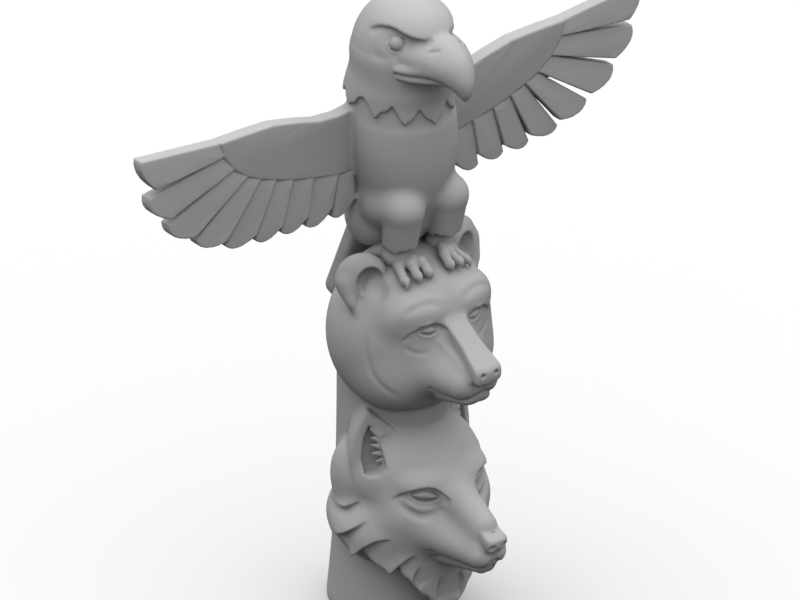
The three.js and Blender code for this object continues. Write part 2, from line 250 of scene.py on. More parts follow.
def ledges(mass, lines, steps=4):
    """Laps one lock over the next along lines drawn from the rear to the front. Each is points, proud, sink,
    width and the shares over which its ends fade. The stone above a line stands out by
    proud * exp(-s / width), and below it is sunk by sink * exp(-s / width), with s the distance to it."""
    ready = []

    def field(x, y, z):
        if not ready:
            for points, proud, sink, width, ends in lines:
                line = settle(mass, smooth_line(points, steps))
                middles = (line[1:] + line[:-1]) / 2
                up = np.cross(np.diff(line, axis=0), slopes(mass, middles))
                up = up / np.linalg.norm(up, axis=1, keepdims=True)
                ready.append((line, middles, up, proud, sink, width, ends))
        d = mass(x, y, z)
        for line, middles, up, proud, sink, width, ends in ready:
            near = close_to(line, 3 * width, d, LEDGE_SKIN, x, y, z)
            if not near.any():
                continue
            p = [c[near] for c in (x, y, z)]
            away, t = line_distance(line, *p)
            span = np.minimum((t * len(up)).astype(int), len(up) - 1)
            side = sum((c - middles[span, i].astype(F)) * up[span, i].astype(F) for i, c in enumerate(p))
            above = 0.5 + 0.5 * np.tanh(side / F(0.9))
            fall = np.exp(-away / F(width))
            d = d.copy()
            d[near] += (fade(t, *ends) * fall * (sink * (1 - above) - proud * above)).astype(F)
        return d

    return field


def pillar(knots, samples=160, ease=0.96):
    """Field of an upright round form from knots of height, centre's y and radius. Its slanting sides are
    nearer than the level distance to them, which is eased by a factor for that."""
    curve = smooth_line(knots, 8)
    heights = np.linspace(knots[0][0], knots[-1][0], samples)
    centres, radii = [np.interp(heights, curve[:, 0], curve[:, i]) for i in (1, 2)]

    def field(x, y, z):
        middle = np.interp(z, heights, centres).astype(F)
        return (np.sqrt(x * x + (y - middle) ** 2) - np.interp(z, heights, radii).astype(F)) * F(ease)

    return field


def between(d, z, low, high, k):
    """A form kept between two heights."""
    return soft_cut(soft_cut(d, low - z, k), z - high, k)


def outline_distance(outline, x, z):
    """Signed distance from a closed outline in a front plane, negative inside."""
    best = np.full(x.shape, 1e9, F)
    outside = np.ones(x.shape, bool)
    for i in range(len(outline)):
        a, b = outline[i], outline[i - 1]
        ex, ez = F(b[0] - a[0]), F(b[1] - a[1])
        wx, wz = x - F(a[0]), z - F(a[1])
        t = np.clip((wx * ex + wz * ez) / (ex * ex + ez * ez), 0, 1)
        best = np.minimum(best, (wx - ex * t) ** 2 + (wz - ez * t) ** 2)
        above, below, left = z >= a[1], z < b[1], ex * wz > ez * wx
        outside ^= (above & below & left) | (~above & ~below & ~left)
    return np.where(outside, 1, -1) * np.sqrt(best)


def slab(across, through, rounding):
    """Field of a plate from its distance across and through, with rounded edges."""
    a, b = across + rounding, through + rounding
    return np.minimum(np.maximum(a, b), 0) + np.sqrt(np.maximum(a, 0) ** 2 + np.maximum(b, 0) ** 2) - rounding


def ring_coordinates(centre, out, x, y, z):
    """Height along an axis and distance from it."""
    d = offset(x, y, z, centre)
    h = reach_along(d, out)
    return h, np.sqrt(np.maximum(d[0] ** 2 + d[1] ** 2 + d[2] ** 2 - h * h, 0))


def eye_place(centre, towards, out):
    """Centre and three axes of an eye: along its length, up the face and out of it."""
    along = np.array(towards, float) / np.linalg.norm(towards)
    up = np.cross(out, along)
    up = up / np.linalg.norm(up) * (1 if up[2] > 0 else -1)
    across = np.cross(along, up)
    across = across * (1 if across @ np.array(out) > 0 else -1)
    return np.array(centre, float), along, up, across


def almond_eye(d, place, half_long, half_high, x, y, z):
    """Sinks the edge of a pointed oval, raises the lids round it and swells the ball inside. The oval is what
    two discs share, so its edge distance is the greater of theirs."""
    centre, *axes = place
    near = np.ones(d.shape, bool)
    for c, middle in zip((x, y, z), centre):
        near &= np.abs(c - F(middle)) < 22
    if not near.any():
        return d
    p = offset(x[near], y[near], z[near], centre)
    a, b, h = [reach_along(p, axis) for axis in axes]
    radius = (half_long ** 2 + half_high ** 2) / (2 * half_high)
    drop = radius - half_high
    edge = np.maximum(np.sqrt(a * a + (b + drop) ** 2), np.sqrt(a * a + (b - drop) ** 2)) - F(radius)
    rim = 1.9 * np.exp(-((edge - 0.2) / 1.0) ** 2)
    lids = 0.78 * np.exp(-((edge - 2.9) / 1.5) ** 2)
    ball = 2.4 * np.clip(-edge / half_high, 0, 1) ** 0.7
    here = np.clip(1.6 - np.abs(h) / 7, 0, 1)
    d = d.copy()
    d[near] += ((rim - lids - ball) * here).astype(F)
    return d


# ---- eagle ----
NECK = pillar([(530, 8, 57.5), (550, 8, 56.9), (560, 9, 56.8), (571, 9.5, 56.5), (580, 8, 55.6),
               (589, 7, 54.2), (598, 5.5, 52.8), (607, 4.8, 51.8), (616, 4.8, 51.4), (630, 4.8, 48)])
BODY = pillar([(400, 10, 20), (430, 8, 33), (445, 5, 38.5), (462, 3, 44.4), (485, 3, 51.2), (513, 4.5, 55),
               (540, 6, 54.7), (552, 8, 53.6), (570, 9, 52.6), (600, 8, 50)])
# the hem of the neck feathers: its height by the angle round from the front, in degrees
NECK_HEM = [(0, 549), (18.6, 568.5), (33, 553), (47.7, 574), (66, 560), (80.5, 580), (104, 561), (118, 575),
            (132, 564), (148, 577), (164, 561), (180, 574)]
# the underside of the brow: its height by the place along Y
BROW_EDGE = [(-70, 650), (-56, 647), (-48, 648), (-37.5, 651.5), (-28, 654.5), (-20, 655.5), (-10, 653.5),
             (0, 650), (20, 645)]
CROWN = egg((0, 4.8, 616), (51.5, 51.5, 59))
FOREHEAD = egg((0, -6, 640), (45, 53.5, 36))
BEAK_RIDGE = sweep([(0, -38, 631), (0, -60, 632), (0, -78, 627.5), (0, -89, 619), (0, -94.5, 609.5),
                    (0, -95.5, 601.5), (0, -94.3, 595.5)], [24, 20, 15.8, 11.4, 7.4, 4.2, 1.3])
BEAK_SIDE = sweep([(22, -34, 627), (17, -58, 628), (10, -76, 623), (4, -88, 614)], [13, 12, 10.5, 7], 3, 2)
UPPER_EDGE = sweep([(36.5, -33, 616.5), (31.5, -46, 618), (24, -60, 620.2), (15, -75, 619.6),
                    (8.5, -85, 613.5), (3, -92, 604)], [4, 4.4, 4.9, 4.6, 4, 3.2], 1.5)
LOWER_EDGE = sweep([(35.5, -33, 608.5), (30, -46, 609), (21, -61, 610.8), (12, -74, 611.5), (4, -84, 607.5)],
                   [3, 4, 4.6, 4.2, 3], 1.5)
LOWER_JAW = bar((0, -40, 612), 16, (0, -80, 609), 5)
EAGLE_EYE = np.array([33.0, -28.1, 642.6])
EAGLE_LOOK = np.array([0.662, -0.652, 0.371])
EAGLE_EYE_RADIUS = 8.2
EYE_HOLLOW = egg((48, -41, 643), (17, 17, 17))
MOUTH_HEIGHT = 615.5


def eagle_eye(d, x, y, z):
    """A ball in a socket, with a raised rim below it."""
    h, r = ring_coordinates(EAGLE_EYE, EAGLE_LOOK, x, y, z)
    below = np.clip((F(EAGLE_EYE[2] + 3) - z) / 5, 0, 1)
    d = d - F(1.3) * np.exp(-((r - 9.4) / 1.6) ** 2) * below
    d = soft_cut(d, 9.3 - np.sqrt(r ** 2 + (h - 1.5) ** 2), 1.2)
    return soft_union(d, np.sqrt(r ** 2 + (h + 3.6) ** 2) - F(EAGLE_EYE_RADIUS), 0.5)


def eagle_head_mass(x, y, z):
    """Crown and neck, cut off along the zigzag hem; then the brow, the eye, and the beak's two halves."""
    d = soft_union(CROWN(x, y, z), between(NECK(x, y, z), z, 540, 622, 3), 6)
    side = np.degrees(np.arctan2(x, -(y - 8)))
    hem = np.interp(side, *zip(*NECK_HEM)).astype(F) + F(1.2) * np.sin(side * F(0.45))
    d = soft_cut(d, (hem - z) * F(0.8), 1.6)
    d = soft_cut(d, -EYE_HOLLOW(x, y, z), 7)
    edge = np.interp(y, *zip(*BROW_EDGE)).astype(F)
    d = soft_union(d, soft_cut(FOREHEAD(x, y, z), (edge - z) * F(0.9), 3.5), 1)
    d = eagle_eye(d, x, y, z)
    low = soft_union(LOWER_EDGE(x, y, z), LOWER_JAW(x, y, z), 6)
    d = soft_union(d, soft_cut(low, z - F(MOUTH_HEIGHT), 1), 2)
    beak = soft_union(BEAK_RIDGE(x * F(0.94), y, z), BEAK_SIDE(x, y, z), 8)
    return soft_union(d, soft_union(beak, UPPER_EDGE(x, y, z), 6), 3)


# the line of the mouth, the nostril, the fold under the brow, and the fold of the cheek
eagle_head = carve(eagle_head_mass, [
    ([(38.5, -31, 612), (34, -44, 613.4), (24, -61, 615.6), (15, -76, 615.3), (8, -85, 609)], 2.4, 1.0, 0.06),
    ([(17.5, -61, 637.5), (15, -66, 641), (11, -71, 642.5)], 5.5, 1.3, 0.25),
    ([(45, 2, 648), (42, -10, 653), (38, -20, 654.5), (35, -28, 653.5), (32, -37.5, 651), (24, -48.5, 647.4),
      (14, -54.5, 646.8), (9, -56, 648.5)], 5.4, 2.6, 0.15),
    ([(46, -2, 636), (45, -14, 627), (42, -24, 621)], 0.9, 5, 0.4),
], 5)

RUMP = melt((egg((0, 14, 455), (44, 46, 62)), 0), (egg((28, 22, 432), (24, 28, 34)), 10),
            (bar((28, -2, 452), 24, (28, -31, 457), 21.5), 8))
SHANK = bar((28, -32, 456), 20.8, (28, -25, 412), 17.6)
ANKLE = (28, -20, 404)
# the tip and the knuckle of each front toe
TOES = [((13.3, -57.5, 386), (15, -44, 398)), ((27, -57, 385), (24, -39, 397)),
        ((40.5, -53.3, 381), (33, -31, 394))]


def shank(x, y, z):
    """The feathered shank, cut off along a ragged hem above the foot."""
    side = np.arctan2(x - 28, -(y + 25))
    hem = F(415.5) + F(1.5) * np.sin(side * 5) + F(0.8) * np.sin(side * 11 + 1)
    return soft_cut(SHANK(x, y, z), hem - z, 1.5)


def eagle_body(x, y, z):
    """The round breast over the rump and thighs."""
    return soft_union(between(BODY(x, y, z), z, 425, 600, 8), RUMP(x, y, z), 10)


def toe(tip, knuckle):
    """A thin toe from the ankle that swells at its knuckle and its end, and a hooked claw."""
    tip, knuckle = np.array(tip, float), np.array(knuckle, float)
    end = tip * 0.72 + knuckle * 0.28
    hook = (end + tip) / 2 + (0, -1.5, 3.2)
    flesh = melt((sweep([ANKLE, knuckle, end + (0, 0, 2)], [6.2, 5.0, 4.2], 1, 3), 0),
                 (egg(knuckle + (0, 0, 1.5), (5.8, 6.4, 6)), 2), (egg(end + (0, 0, 2), (4.9, 5.4, 4.9)), 2))
    return flesh, sweep([end + (0, -2, 3.4), hook, tip + (0, 0, -1)], [4.0, 3.0, 0.9], 0.8, 3)


TOE_FORMS = [toe(*t) for t in TOES]
INSTEP = egg((28, -19, 402), (14, 15, 12))
HIND_TOE = sweep([(28, -15, 402), (32, 4, 398), (35, 16, 391)], [8, 6, 3], 1)


def foot(x, y, z):
    """The instep, three front toes with claws, and the hind toe."""
    d = INSTEP(x, y, z)
    for flesh, claw in TOE_FORMS:
        d = soft_union(d, flesh(x, y, z), 0.8)
        d = soft_union(d, claw(x, y, z), 0.5)
    return soft_union(d, HIND_TOE(x, y, z), 3)


# ---- wings and tail ----
# places in the XZ plane, with the feathers counted from the wing's tip to the body
ROOTS = [(219, 571), (215, 554), (202, 536), (184.5, 523), (168, 515),
         (149, 508), (127, 501), (101, 495), (70, 489), (52, 489)]
CORNERS = [(317, 581), (307, 537), (283, 500), (249, 472), (211.5, 454.5),
           (174.5, 449), (142, 447), (110, 443), (77, 443)]
NOTCHES = [(301, 546), (283, 508), (252, 478), (212, 461), (174, 456),
           (141, 455), (108, 455.5), (77.5, 455), (50, 458)]
LEADING_EDGE = [(219, 571.5), (190, 571.5), (152, 570.5), (121, 564),
                (95, 557), (70, 555), (55, 557), (30, 560)]
COVERT = np.array([(30, 489)] + ROOTS[8:0:-1] + LEADING_EDGE, float)
FEATHER_BELLY = (13, 18, 19, 18, 18, 18, 18, 17, 17)
FEATHER_TILT = 2.4
WING_FRONT = 18.8
WING_THICK = 15


def feather_outline(i):
    """Root, tip corner, a rounded end to the notch, and the next root."""
    root, corner, notch = [np.array(p[i], float) for p in (ROOTS, CORNERS, NOTCHES)]
    along = (corner - root) / np.linalg.norm(corner - root)
    belly = (corner + notch) / 2 + along * FEATHER_BELLY[i]
    t = np.linspace(0, 1, 7)[:, None]
    end = (1 - t) ** 2 * corner + 2 * t * (1 - t) * belly + t * t * notch
    return np.vstack([root[None], end, [ROOTS[i + 1]]])


FEATHERS = [feather_outline(i) for i in range(9)]


def wing(x, y, z):
    """A covert slab with nine feather slabs, each tilted so that its inner edge stands over the next."""
    middle = F(WING_FRONT + WING_THICK / 2)
    d = slab(outline_distance(COVERT, x, z), np.abs(y - middle + F(0.5)) - F(WING_THICK / 2 + 0.5), 2)
    for i, outline in enumerate(FEATHERS):
        root, corner = outline[0], outline[1]
        along = (corner - root) / np.linalg.norm(corner - root)
        side = np.array([along[1], -along[0]])
        step = np.array(ROOTS[i + 1], float) - root
        side = side if side @ step > 0 else -side
        across = ((x - F(root[0])) * F(side[0]) + (z - F(root[1])) * F(side[1])) / F(max(side @ step, 12))
        tilt = (np.clip(across, -0.5, 1.6) - F(0.5)) * F(FEATHER_TILT)
        through = np.abs(y + tilt - middle + F(0.5)) - F(WING_THICK / 2 - 0.5)
        d = soft_union(d, slab(outline_distance(outline, x, z), through, 1.5), 0.5)
    return d


TAIL_ROOT = np.array([47.0, 425.0])
TAIL_TIP = np.array([97.0, 305.0])
TAIL_THICK = 17
TAIL_ROUND = 20


def tail(x, y, z):
    """A slanting slab with a rounded end, a little wider there."""
    way = TAIL_TIP - TAIL_ROOT
    length = float(np.linalg.norm(way))
    way = way / length
    run = (y - F(TAIL_ROOT[0])) * F(way[0]) + (z - F(TAIL_ROOT[1])) * F(way[1])
    rise = (z - F(TAIL_ROOT[1])) * F(way[0]) - (y - F(TAIL_ROOT[0])) * F(way[1])
    wide = 24 + 3 * run / length
    beyond = np.maximum(run - (length - TAIL_ROUND), 0)
    across = np.sqrt(np.maximum(np.abs(x) - wide + TAIL_ROUND, 0) ** 2 + beyond ** 2) - TAIL_ROUND
    across = np.maximum(np.maximum(across, np.abs(x) - wide), -run - 25)
    return slab(across, np.abs(rise) - F(TAIL_THICK / 2), 5)


# ---- bear ----
BRIDGE_TOP = np.array([-84.0, 343.0])
BRIDGE_NOSE = np.array([-133.0, 311.5])


def bear_bridge(x, y, z):
    """The flat-topped bridge of the muzzle with the blocky nose at its end."""
    way = BRIDGE_NOSE - BRIDGE_TOP
    length = float(np.linalg.norm(way))
    way = way / length
    run = (y - F(BRIDGE_TOP[0])) * F(way[0]) + (z - F(BRIDGE_TOP[1])) * F(way[1])
    rise = (z - F(BRIDGE_TOP[1])) * F(-way[0]) + (y - F(BRIDGE_TOP[0])) * F(way[1])
    wide = np.interp(run, [-10, 0, 28, 42, length], [11, 13, 13, 15, 16.5]).astype(F)
    nose = soft_cut(soft_cut(np.abs(x) - wide, rise, 3.5), np.minimum(-rise - F(16), F(296) - z), 5)
    front = F(-y) - F(136) + (z - F(304)) ** 2 * F(0.02) + x ** 2 * F(0.006)
    return soft_cut(soft_cut(nose, front, 3), F(-12) - run, 8)


# skull, cheeks, forehead, brows, muzzle and lips
BEAR_FACE = melt(
    (egg((0, -5, 310), (87, 76, 90)), 0),
    (egg((40, -30, 280), (36, 38, 38)), 14),
    (egg((0, -38, 346), (54, 38, 40)), 12),
    (egg((37, -49, 350), (27, 19.5, 22)), 16),
    (egg((30, -57, 353), (27, 20, 16), pitch=-25, yaw=18), 8),
    (bar((0, -62, 316), 25, (0, -112, 291), 15.5), 12),
    (bar((15, -70, 290), 24, (12.5, -104, 287.5), 17.5), 15),
)
BEAR_JAW = melt((bar((13, -80, 274), 15, (8, -107, 275.5), 12.5), 0),
                (egg((0, -111, 276.5), (15, 13, 9.5)), 6))
BEAR_NOSTRIL = egg((8.3, -137, 305.5), (3.2, 6, 2.5))
BEAR_EYE = eye_place((30, -76.5, 340), (-0.925, -0.38, 0.0), (0.36, -0.88, 0.3))
BEAR_EAR = egg((62.6, -8, 384.5), (26, 13, 25), yaw=28)
BEAR_EAR_CUP = egg((61.6, -21, 381), (14, 18, 16.5), yaw=28)
BEAR_EAR_BOWL = egg((60.6, -29, 380), (12, 14, 14), yaw=28)
BEAR_EAR_TAIL = sweep([(80, -3, 381), (79.5, -7, 371), (78.5, -12, 361), (75, -15, 351)], [8.5, 7, 5, 2.2], 2)


def bear_mass(x, y, z):
    """Face, jaw and bridge; then the cupped ear, its bowl in the skull, and its lobe behind; then the eye."""
    d = soft_union(BEAR_FACE(x, y, z), BEAR_JAW(x, y, z), 1.5)
    d = soft_union(d, bear_bridge(x, y, z), 5)
    d = soft_cut(d, -BEAR_NOSTRIL(x, y, z), 0.8)
    d = soft_union(d, soft_cut(BEAR_EAR(x, y, z), -BEAR_EAR_CUP(x, y, z), 3), 5)
    d = soft_cut(d, -BEAR_EAR_BOWL(x, y, z), 4)
    d = soft_union(d, BEAR_EAR_TAIL(x, y, z), 7)
    return almond_eye(d, BEAR_EYE, 9.2, 4.3, x, y, z)


BEAR_BROW = [(54, -60, 331), (48, -66, 339), (40, -71, 344.5), (29, -75, 347.5), (20, -78, 344.5),
             (13, -81, 340), (9, -83, 338)]
# the ridge and the furrow of the forehead, the eye bag, the cheek, the mouth, the ridge beside the bridge,
# the cleft of the lip, and the fold round the nose
bear = carve(ledges(bear_mass, [(BEAR_BROW, 2.0, 5.0, 4.5, (0.25, 0.2))]), [
    ([(56, -59, 352), (51, -61, 363), (39, -63, 369), (24, -66, 370), (12, -69, 366), (4, -72, 358)],
     -1.7, 4, 0.3),
    ([(53, -63, 357), (43, -67, 363), (27, -71, 365), (13, -76, 360)], 1.1, 3, 0.3),
    ([(53, -63.5, 327), (48, -68, 319), (40, -72, 315.7), (29, -77, 316)], 1.4, 2.2, 0.3),
    ([(75, -33, 342), (79, -36, 320), (77.5, -41, 297), (70, -53, 279), (52, -64, 267)], 1.5, 3.0, 0.25),
    ([(34, -80, 280), (30, -88, 275.5), (24, -98, 272.5), (20, -109, 271.8), (14.5, -120, 274.5),
      (7, -127, 279.5), (-3, -129, 281.5)], 3.6, 1.9, 0.05),
    ([(22, -76, 331), (18, -88, 320), (16, -102, 311), (17, -116, 303)], -1.6, 3.2, 0.2),
    ([(0, -130, 297), (0, -128, 290), (0, -127, 281)], 1.4, 1.1, 0.1),
    ([(15.5, -122, 303), (15, -129, 298), (10, -132, 295), (2, -131, 292.5)], 1.8, 1.2, 0.2),
], 4)


# ---- wolf ----
# skull, ruff, the swell below the ear, cheek, brow, muzzle, lips and the neck above
WOLF_FACE = melt(
    (egg((0, -6, 156), (73, 72, 61)), 0),
    (egg((0, -3, 104), (83, 75, 56)), 8),
    (egg((58, 12, 150), (20, 26, 38)), 10),
    (egg((34, -40, 126), (30, 34, 32), yaw=25), 14),
    (egg((29, -63, 163), (25, 16, 13), pitch=-25, yaw=26), 9),
    (bar((0, -58, 158), 22.5, (0, -124, 130), 14.5), 14),
    (bar((14, -72, 110.5), 25.5, (7, -128, 102.5), 15.5), 17),
    (egg((0, 0, 222), (42, 44, 40)), 8),
)
WOLF_JAW = melt((bar((8, -70, 87), 17, (3, -125, 88), 9.5), 0), (egg((0, -123, 91.5), (12, 14, 8.5)), 6))
WOLF_EYE = eye_place((33, -72.5, 153), (-0.80, -0.58, -0.14), (0.55, -0.79, 0.25))
# the inner corner, the tip and the outer corner of the ear
WOLF_EAR = np.array([(27, -33, 197), (57.5, -12, 227), (69, -11, 156)], float)
EAR_BULGE = 9.0
# places on the ear's face, as shares of the way from the tip to its inner and its outer corner
EAR_HOLLOW = [(0.05, 0.13), (-0.03, 0.33), (-0.03, 0.52), (0.0, 0.68), (0.09, 0.8), (0.2, 0.77), (0.42, 0.64),
              (0.56, 0.47), (0.46, 0.34), (0.3, 0.22), (0.16, 0.13)]
EAR_TUFTS = [((0.36, 0.14), (0.09, 0.16)), ((0.46, 0.2), (0.15, 0.27)), ((0.55, 0.27), (0.18, 0.37)),
             ((0.6, 0.34), (0.22, 0.48)), ((0.62, 0.42), (0.36, 0.55))]
# the lower edge of the ruff: its height by the angle round from the front, in degrees
RUFF_HEM = [(0, 14), (12, 18), (22, 34), (26, 36), (30, 43), (37, 55), (43, 58), (46, 64), (52, 62.5),
            (64, 70.5), (76, 77), (80, 75), (93, 84), (106, 91), (180, 100)]
RUFF_WIDE = 83
RUFF_DEEP = 75
RUFF_TOP = 118


def wolf_nose(x, y, z):
    """The blunt pad, flat on top and in front."""
    nose = soft_cut(np.abs(x) - F(12.5) + (z - F(121)) ** 2 * F(0.02), z - F(129) - (y + 140) * F(0.40), 3)
    nose = soft_cut(nose, F(-y) - F(151) + x ** 2 * F(0.012) + (z - F(121)) ** 2 * F(0.03), 3)
    return soft_cut(nose, np.maximum(y + 126, F(108) - z), 5)


def wolf_ear(d, x, y, z):
    """A leaf-shaped plate with a narrow hollow sunk in its front, and tufts of fur that point into it."""
    inner, tip, outer = WOLF_EAR
    out = np.cross(outer - inner, tip - inner)
    out = out / np.linalg.norm(out) * (-1 if out[1] > 0 else 1)
    down = (outer - tip) / np.linalg.norm(outer - tip)
    across = np.cross(out, down)
    p = offset(x, y, z, tip)
    a, b, h = [reach_along(p, axis) for axis in (down, across, out)]
    corners = np.array([[(q - tip) @ down, (q - tip) @ across] for q in (inner, tip, outer)])
    side = -np.sign(corners[0, 1])
    t = np.linspace(0, 1, 9)[1:-1]
    bent = np.stack([corners[2, 0] * t, side * EAR_BULGE * 4 * t * (1 - t)], 1)
    edge = outline_distance(np.vstack([corners[:2], bent, corners[2:]]), a, b)
    d = soft_union(d, soft_cut(edge - 4.5, np.abs(h + 12) - 15, 5), 3)
    plan = [s * corners[0] + t * corners[2] for s, t in EAR_HOLLOW]
    well = outline_distance(np.array(plan), a, b)
    d = soft_cut(d, -soft_cut(well, F(-8) - h, 3), 2.5)
    for root, end in EAR_TUFTS:
        base, point = [tip + s * (inner - tip) + t * (outer - tip) for s, t in (root, end)]
        d = soft_union(d, bar(base, 5, point + out, 1.1)(x, y, z), 1.5)
    return d


def ruff(x, y, z):
    """A skirt of fur round the neck, cut off along its hem and drawn in a little towards the bottom."""
    s = 1 - 0.08 * np.clip((104 - z) / 84, 0, 1)
    r = np.sqrt((x / (RUFF_WIDE * s)) ** 2 + ((y + 3) / (RUFF_DEEP * s)) ** 2)
    hem = np.interp(np.degrees(np.arctan2(x, -(y + 3))), *zip(*RUFF_HEM)).astype(F)
    return soft_cut(soft_cut((r - 1) * 72, (hem - z) * F(0.85), 6), z - RUFF_TOP, 20)


def wolf_mass(x, y, z):
    """Face, ruff, jaw and nose, then the eye."""
    d = soft_union(WOLF_FACE(x, y, z), ruff(x, y, z), 6)
    d = soft_union(d, WOLF_JAW(x, y, z), 1.5)
    d = soft_union(d, wolf_nose(x, y, z), 3)
    return almond_eye(d, WOLF_EYE, 14, 5.2, x, y, z)


# the eye bag and the ridge above it, the inner corner of the eye, the mouth, the fold round the nose, the
# nostril, and the cleft of the lip
wolf_head = carve(wolf_mass, [
    ([(56, -57, 148), (50, -67, 139), (41, -76, 133), (32, -83, 135), (24, -87, 142)], 6.0, 3.2, (0.3, 0.3)),
    ([(54, -60, 153), (47, -69, 145), (38, -77, 141), (27, -85, 143)], -1.2, 3.0, (0.3, 0.3)),
    ([(21, -84, 150), (17, -92, 146)], 2.2, 2.0, (0.2, 0.5)),
    ([(0, -146, 98), (9, -140, 91.5), (15, -128, 87), (19, -113, 86.5), (23, -99, 88), (26, -91, 91.5),
      (30, -84, 95), (34, -74, 94)], 3.4, 2.2, (0.02, 0.25)),
    ([(13, -135, 129), (13, -135, 120), (11, -138, 112), (6, -144, 107.5), (0, -146, 106.5)],
     2.6, 2.2, (0.35, 0.02)),
    ([(10, -149, 119), (7.5, -151, 116), (4, -152, 118.5)], 4.6, 2.4, (0.2, 0.3)),
    ([(0, -150, 113), (0, -147, 104), (0, -145, 98)], 1.3, 1.5, (0.2, 0.2)),
], 3)
# the brow, then the locks from the top one to the lowest
wolf_coat = ledges(wolf_head, [
    ([(60, -50, 148), (52, -63, 158), (41, -75, 164), (30, -80, 163.5), (21, -85, 157), (15, -95, 150)],
     3.0, 5.0, 5, (0.3, 0.15)),
    ([(73, 34, 124), (78, 16, 123), (78.5, 1.5, 124), (75, -8, 130), (71, -16, 136)],
     3.2, 8.0, 7, (0.5, 0.45)),
    ([(78, 30, 88), (83, 12, 91.5), (85, -4, 98), (82, -19, 109), (73, -31, 121)], 3.5, 9.0, 8, (0.4, 0.45)),
    ([(79, -8, 72), (79, -20, 80), (76, -30, 91), (72, -43, 101), (62, -55, 106)], 3.6, 9.0, 9, (0.1, 0.4)),
    ([(61, -50, 62), (56, -56, 71), (50, -62, 79), (41, -67, 86)], 3.6, 8.5, 8, (0.1, 0.4)),
    ([(37, -63, 42), (41, -66, 58), (36, -70, 72)], 1.5, 5.5, 7, (0.2, 0.5)),
    ([(14, -74, 22), (17, -75, 40), (13, -76, 56)], 1.5, 6.0, 7, (0.2, 0.4)),
])


def wolf(x, y, z):
    """The whole wolf's head."""
    return wolf_ear(wolf_coat(x, y, z), x, y, z)


# ---- the whole pole ----
POST_RADIUS = 55
POST_FLARE = 10.4
POST_LOW, POST_HIGH = -7, 300


def post(x, y, z):
    """The round post: its radius grows to the foot by flare * exp(-(height / 85)^1.2)."""
    radius = POST_RADIUS + POST_FLARE * np.exp(-(np.maximum(z, 0) / 85) ** 1.2)
    up = np.abs(z - F((POST_HIGH + POST_LOW) / 2)) - F((POST_HIGH - POST_LOW) / 2)
    return slab((np.sqrt(x * x + (y - FOOT[1]) ** 2) - radius) * F(0.97), up, 1.5)


def box_distance(x, y, z, low, high):
    """Distance to a box, nought inside it."""
    return size_of([np.maximum(np.maximum(F(a) - c, c - F(b)), 0) for c, a, b in zip((x, y, z), low, high)])


# each form with the box that holds it and the width of its join
FORMS = [
    (post, (0, -60, -8), (82, 102, 302), 0.5),
    (wolf, (0, -155, 5), (92, 80, 240), 4),
    (bear, (0, -140, 215), (95, 85, 415), 3),
    (eagle_body, (0, -60, 395), (62, 62, 605), 4),
    (shank, (5, -60, 390), (60, 5, 480), 3),
    (foot, (5, -65, 360), (60, 25, 420), 1.5),
    (eagle_head, (0, -112, 520), (62, 70, 678), 0.6),
    (wing, (25, 10, 430), (325, 45, 590), 6),
    (tail, (0, 20, 300), (32, 110, 450), 4),
]
# boxes outside which there is no stone
CLEAR = [((0, -90, -8), (90, 110, 676)), ((0, 10, 430), (325, 40, 590)), ((0, -155, 80), (40, -80, 320)),
         ((0, -115, 590), (30, -50, 660))]
LOW = (0, -160, -14)
HIGH = (330, 116, 682)
MARGIN = 14  # parts round a form's box in which it is still worked out


def pole(x, y, z):
    """The whole carving's field, from its forms, each worked out only inside its own box."""
    x = np.abs(x)
    far = box_distance(x, y, z, *CLEAR[0])
    for low, high in CLEAR[1:]:
        far = np.minimum(far, box_distance(x, y, z, low, high))
    d = np.maximum(far, MARGIN)
    for form, low, high, k in FORMS:
        near = np.ones(d.shape, bool)
        for c, least, most in zip((x, y, z), low, high):
            near &= (c > least - MARGIN) & (c < most + MARGIN)
        if near.any():
            d[near] = soft_union(d[near], form(x[near], y[near], z[near]).astype(F), k)
    return d


# ---- laying the net ----
CORNER = [(i, j, k) for k in (0, 1) for j in (0, 1) for i in (0, 1)]
CELL_EDGES = [(a, b) for a in range(8) for b in range(a + 1, 8)
              if sum(abs(p - q) for p, q in zip(CORNER[a], CORNER[b])) == 1]


def stitch(names, crossings, name):
    """A face of the four cells round each crossed edge, as places in the sorted names of the cells."""
    faces = []
    for axis, cells, outward in crossings:
        e1, e2 = np.eye(3, dtype=int)[[(axis + 1) % 3, (axis + 2) % 3]]
        quad = np.stack([cells - e1 - e2, cells - e2, cells, cells - e1], 1)
        quad[~outward] = quad[~outward][:, ::-1]
        wanted = name(quad)
        found = np.minimum(np.searchsorted(names, wanted), len(names) - 1)
        faces.append(found[(names[found] == wanted).all(1) & (quad >= 0).all((1, 2))])
    return np.concatenate(faces)


